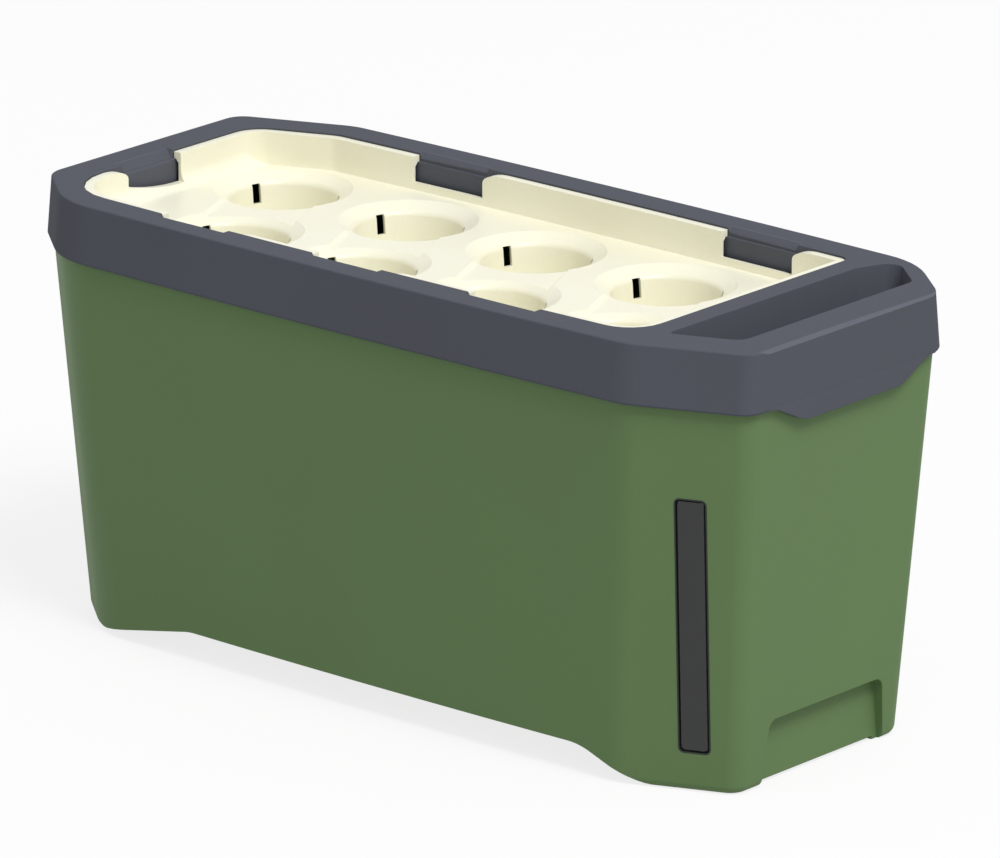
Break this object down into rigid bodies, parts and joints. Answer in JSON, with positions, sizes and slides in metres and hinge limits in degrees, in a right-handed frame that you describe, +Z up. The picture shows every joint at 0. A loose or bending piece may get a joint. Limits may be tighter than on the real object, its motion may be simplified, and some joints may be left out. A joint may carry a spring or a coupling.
{
  "type": "self-watering herb planter",
  "caption": "Long herb trough: a drafted water tank with a level window, a lift-off top frame with a filling mouth, and a lift-out tray with slotted planting cups.",
  "frame": {"origin": "on the ground under the middle of the pot's overall box", "axes": "+X along the length towards the filling mouth, +Y from the window side to the back, +Z up"},
  "size_m": [0.5028, 0.2212, 0.244],
  "materials": {
    "tank_plastic": "fine matte, moulded",
    "seal_rubber": "matte",
    "window_plastic": "smoked, polished",
    "frame_plastic": "fine matte, moulded",
    "tray_plastic": "satin, moulded"
  },
  "bodies": {
    "tank": {"planter_tank": "tank_plastic", "window_seal": "seal_rubber", "sight_window": "window_plastic"},
    "frame": {"top_frame": "frame_plastic"},
    "tray": {"plant_tray": "tray_plastic"}
  },
  "joints": [
    {"name": "frame_lift", "type": "slide", "parent": "tank", "child": "frame", "axis": [0, 0, 1], "range_m": [0, 0.08]},
    {"name": "tray_lift", "type": "slide", "parent": "frame", "child": "tray", "axis": [0, 0, 1], "range_m": [0, 0.08]}
  ]
}
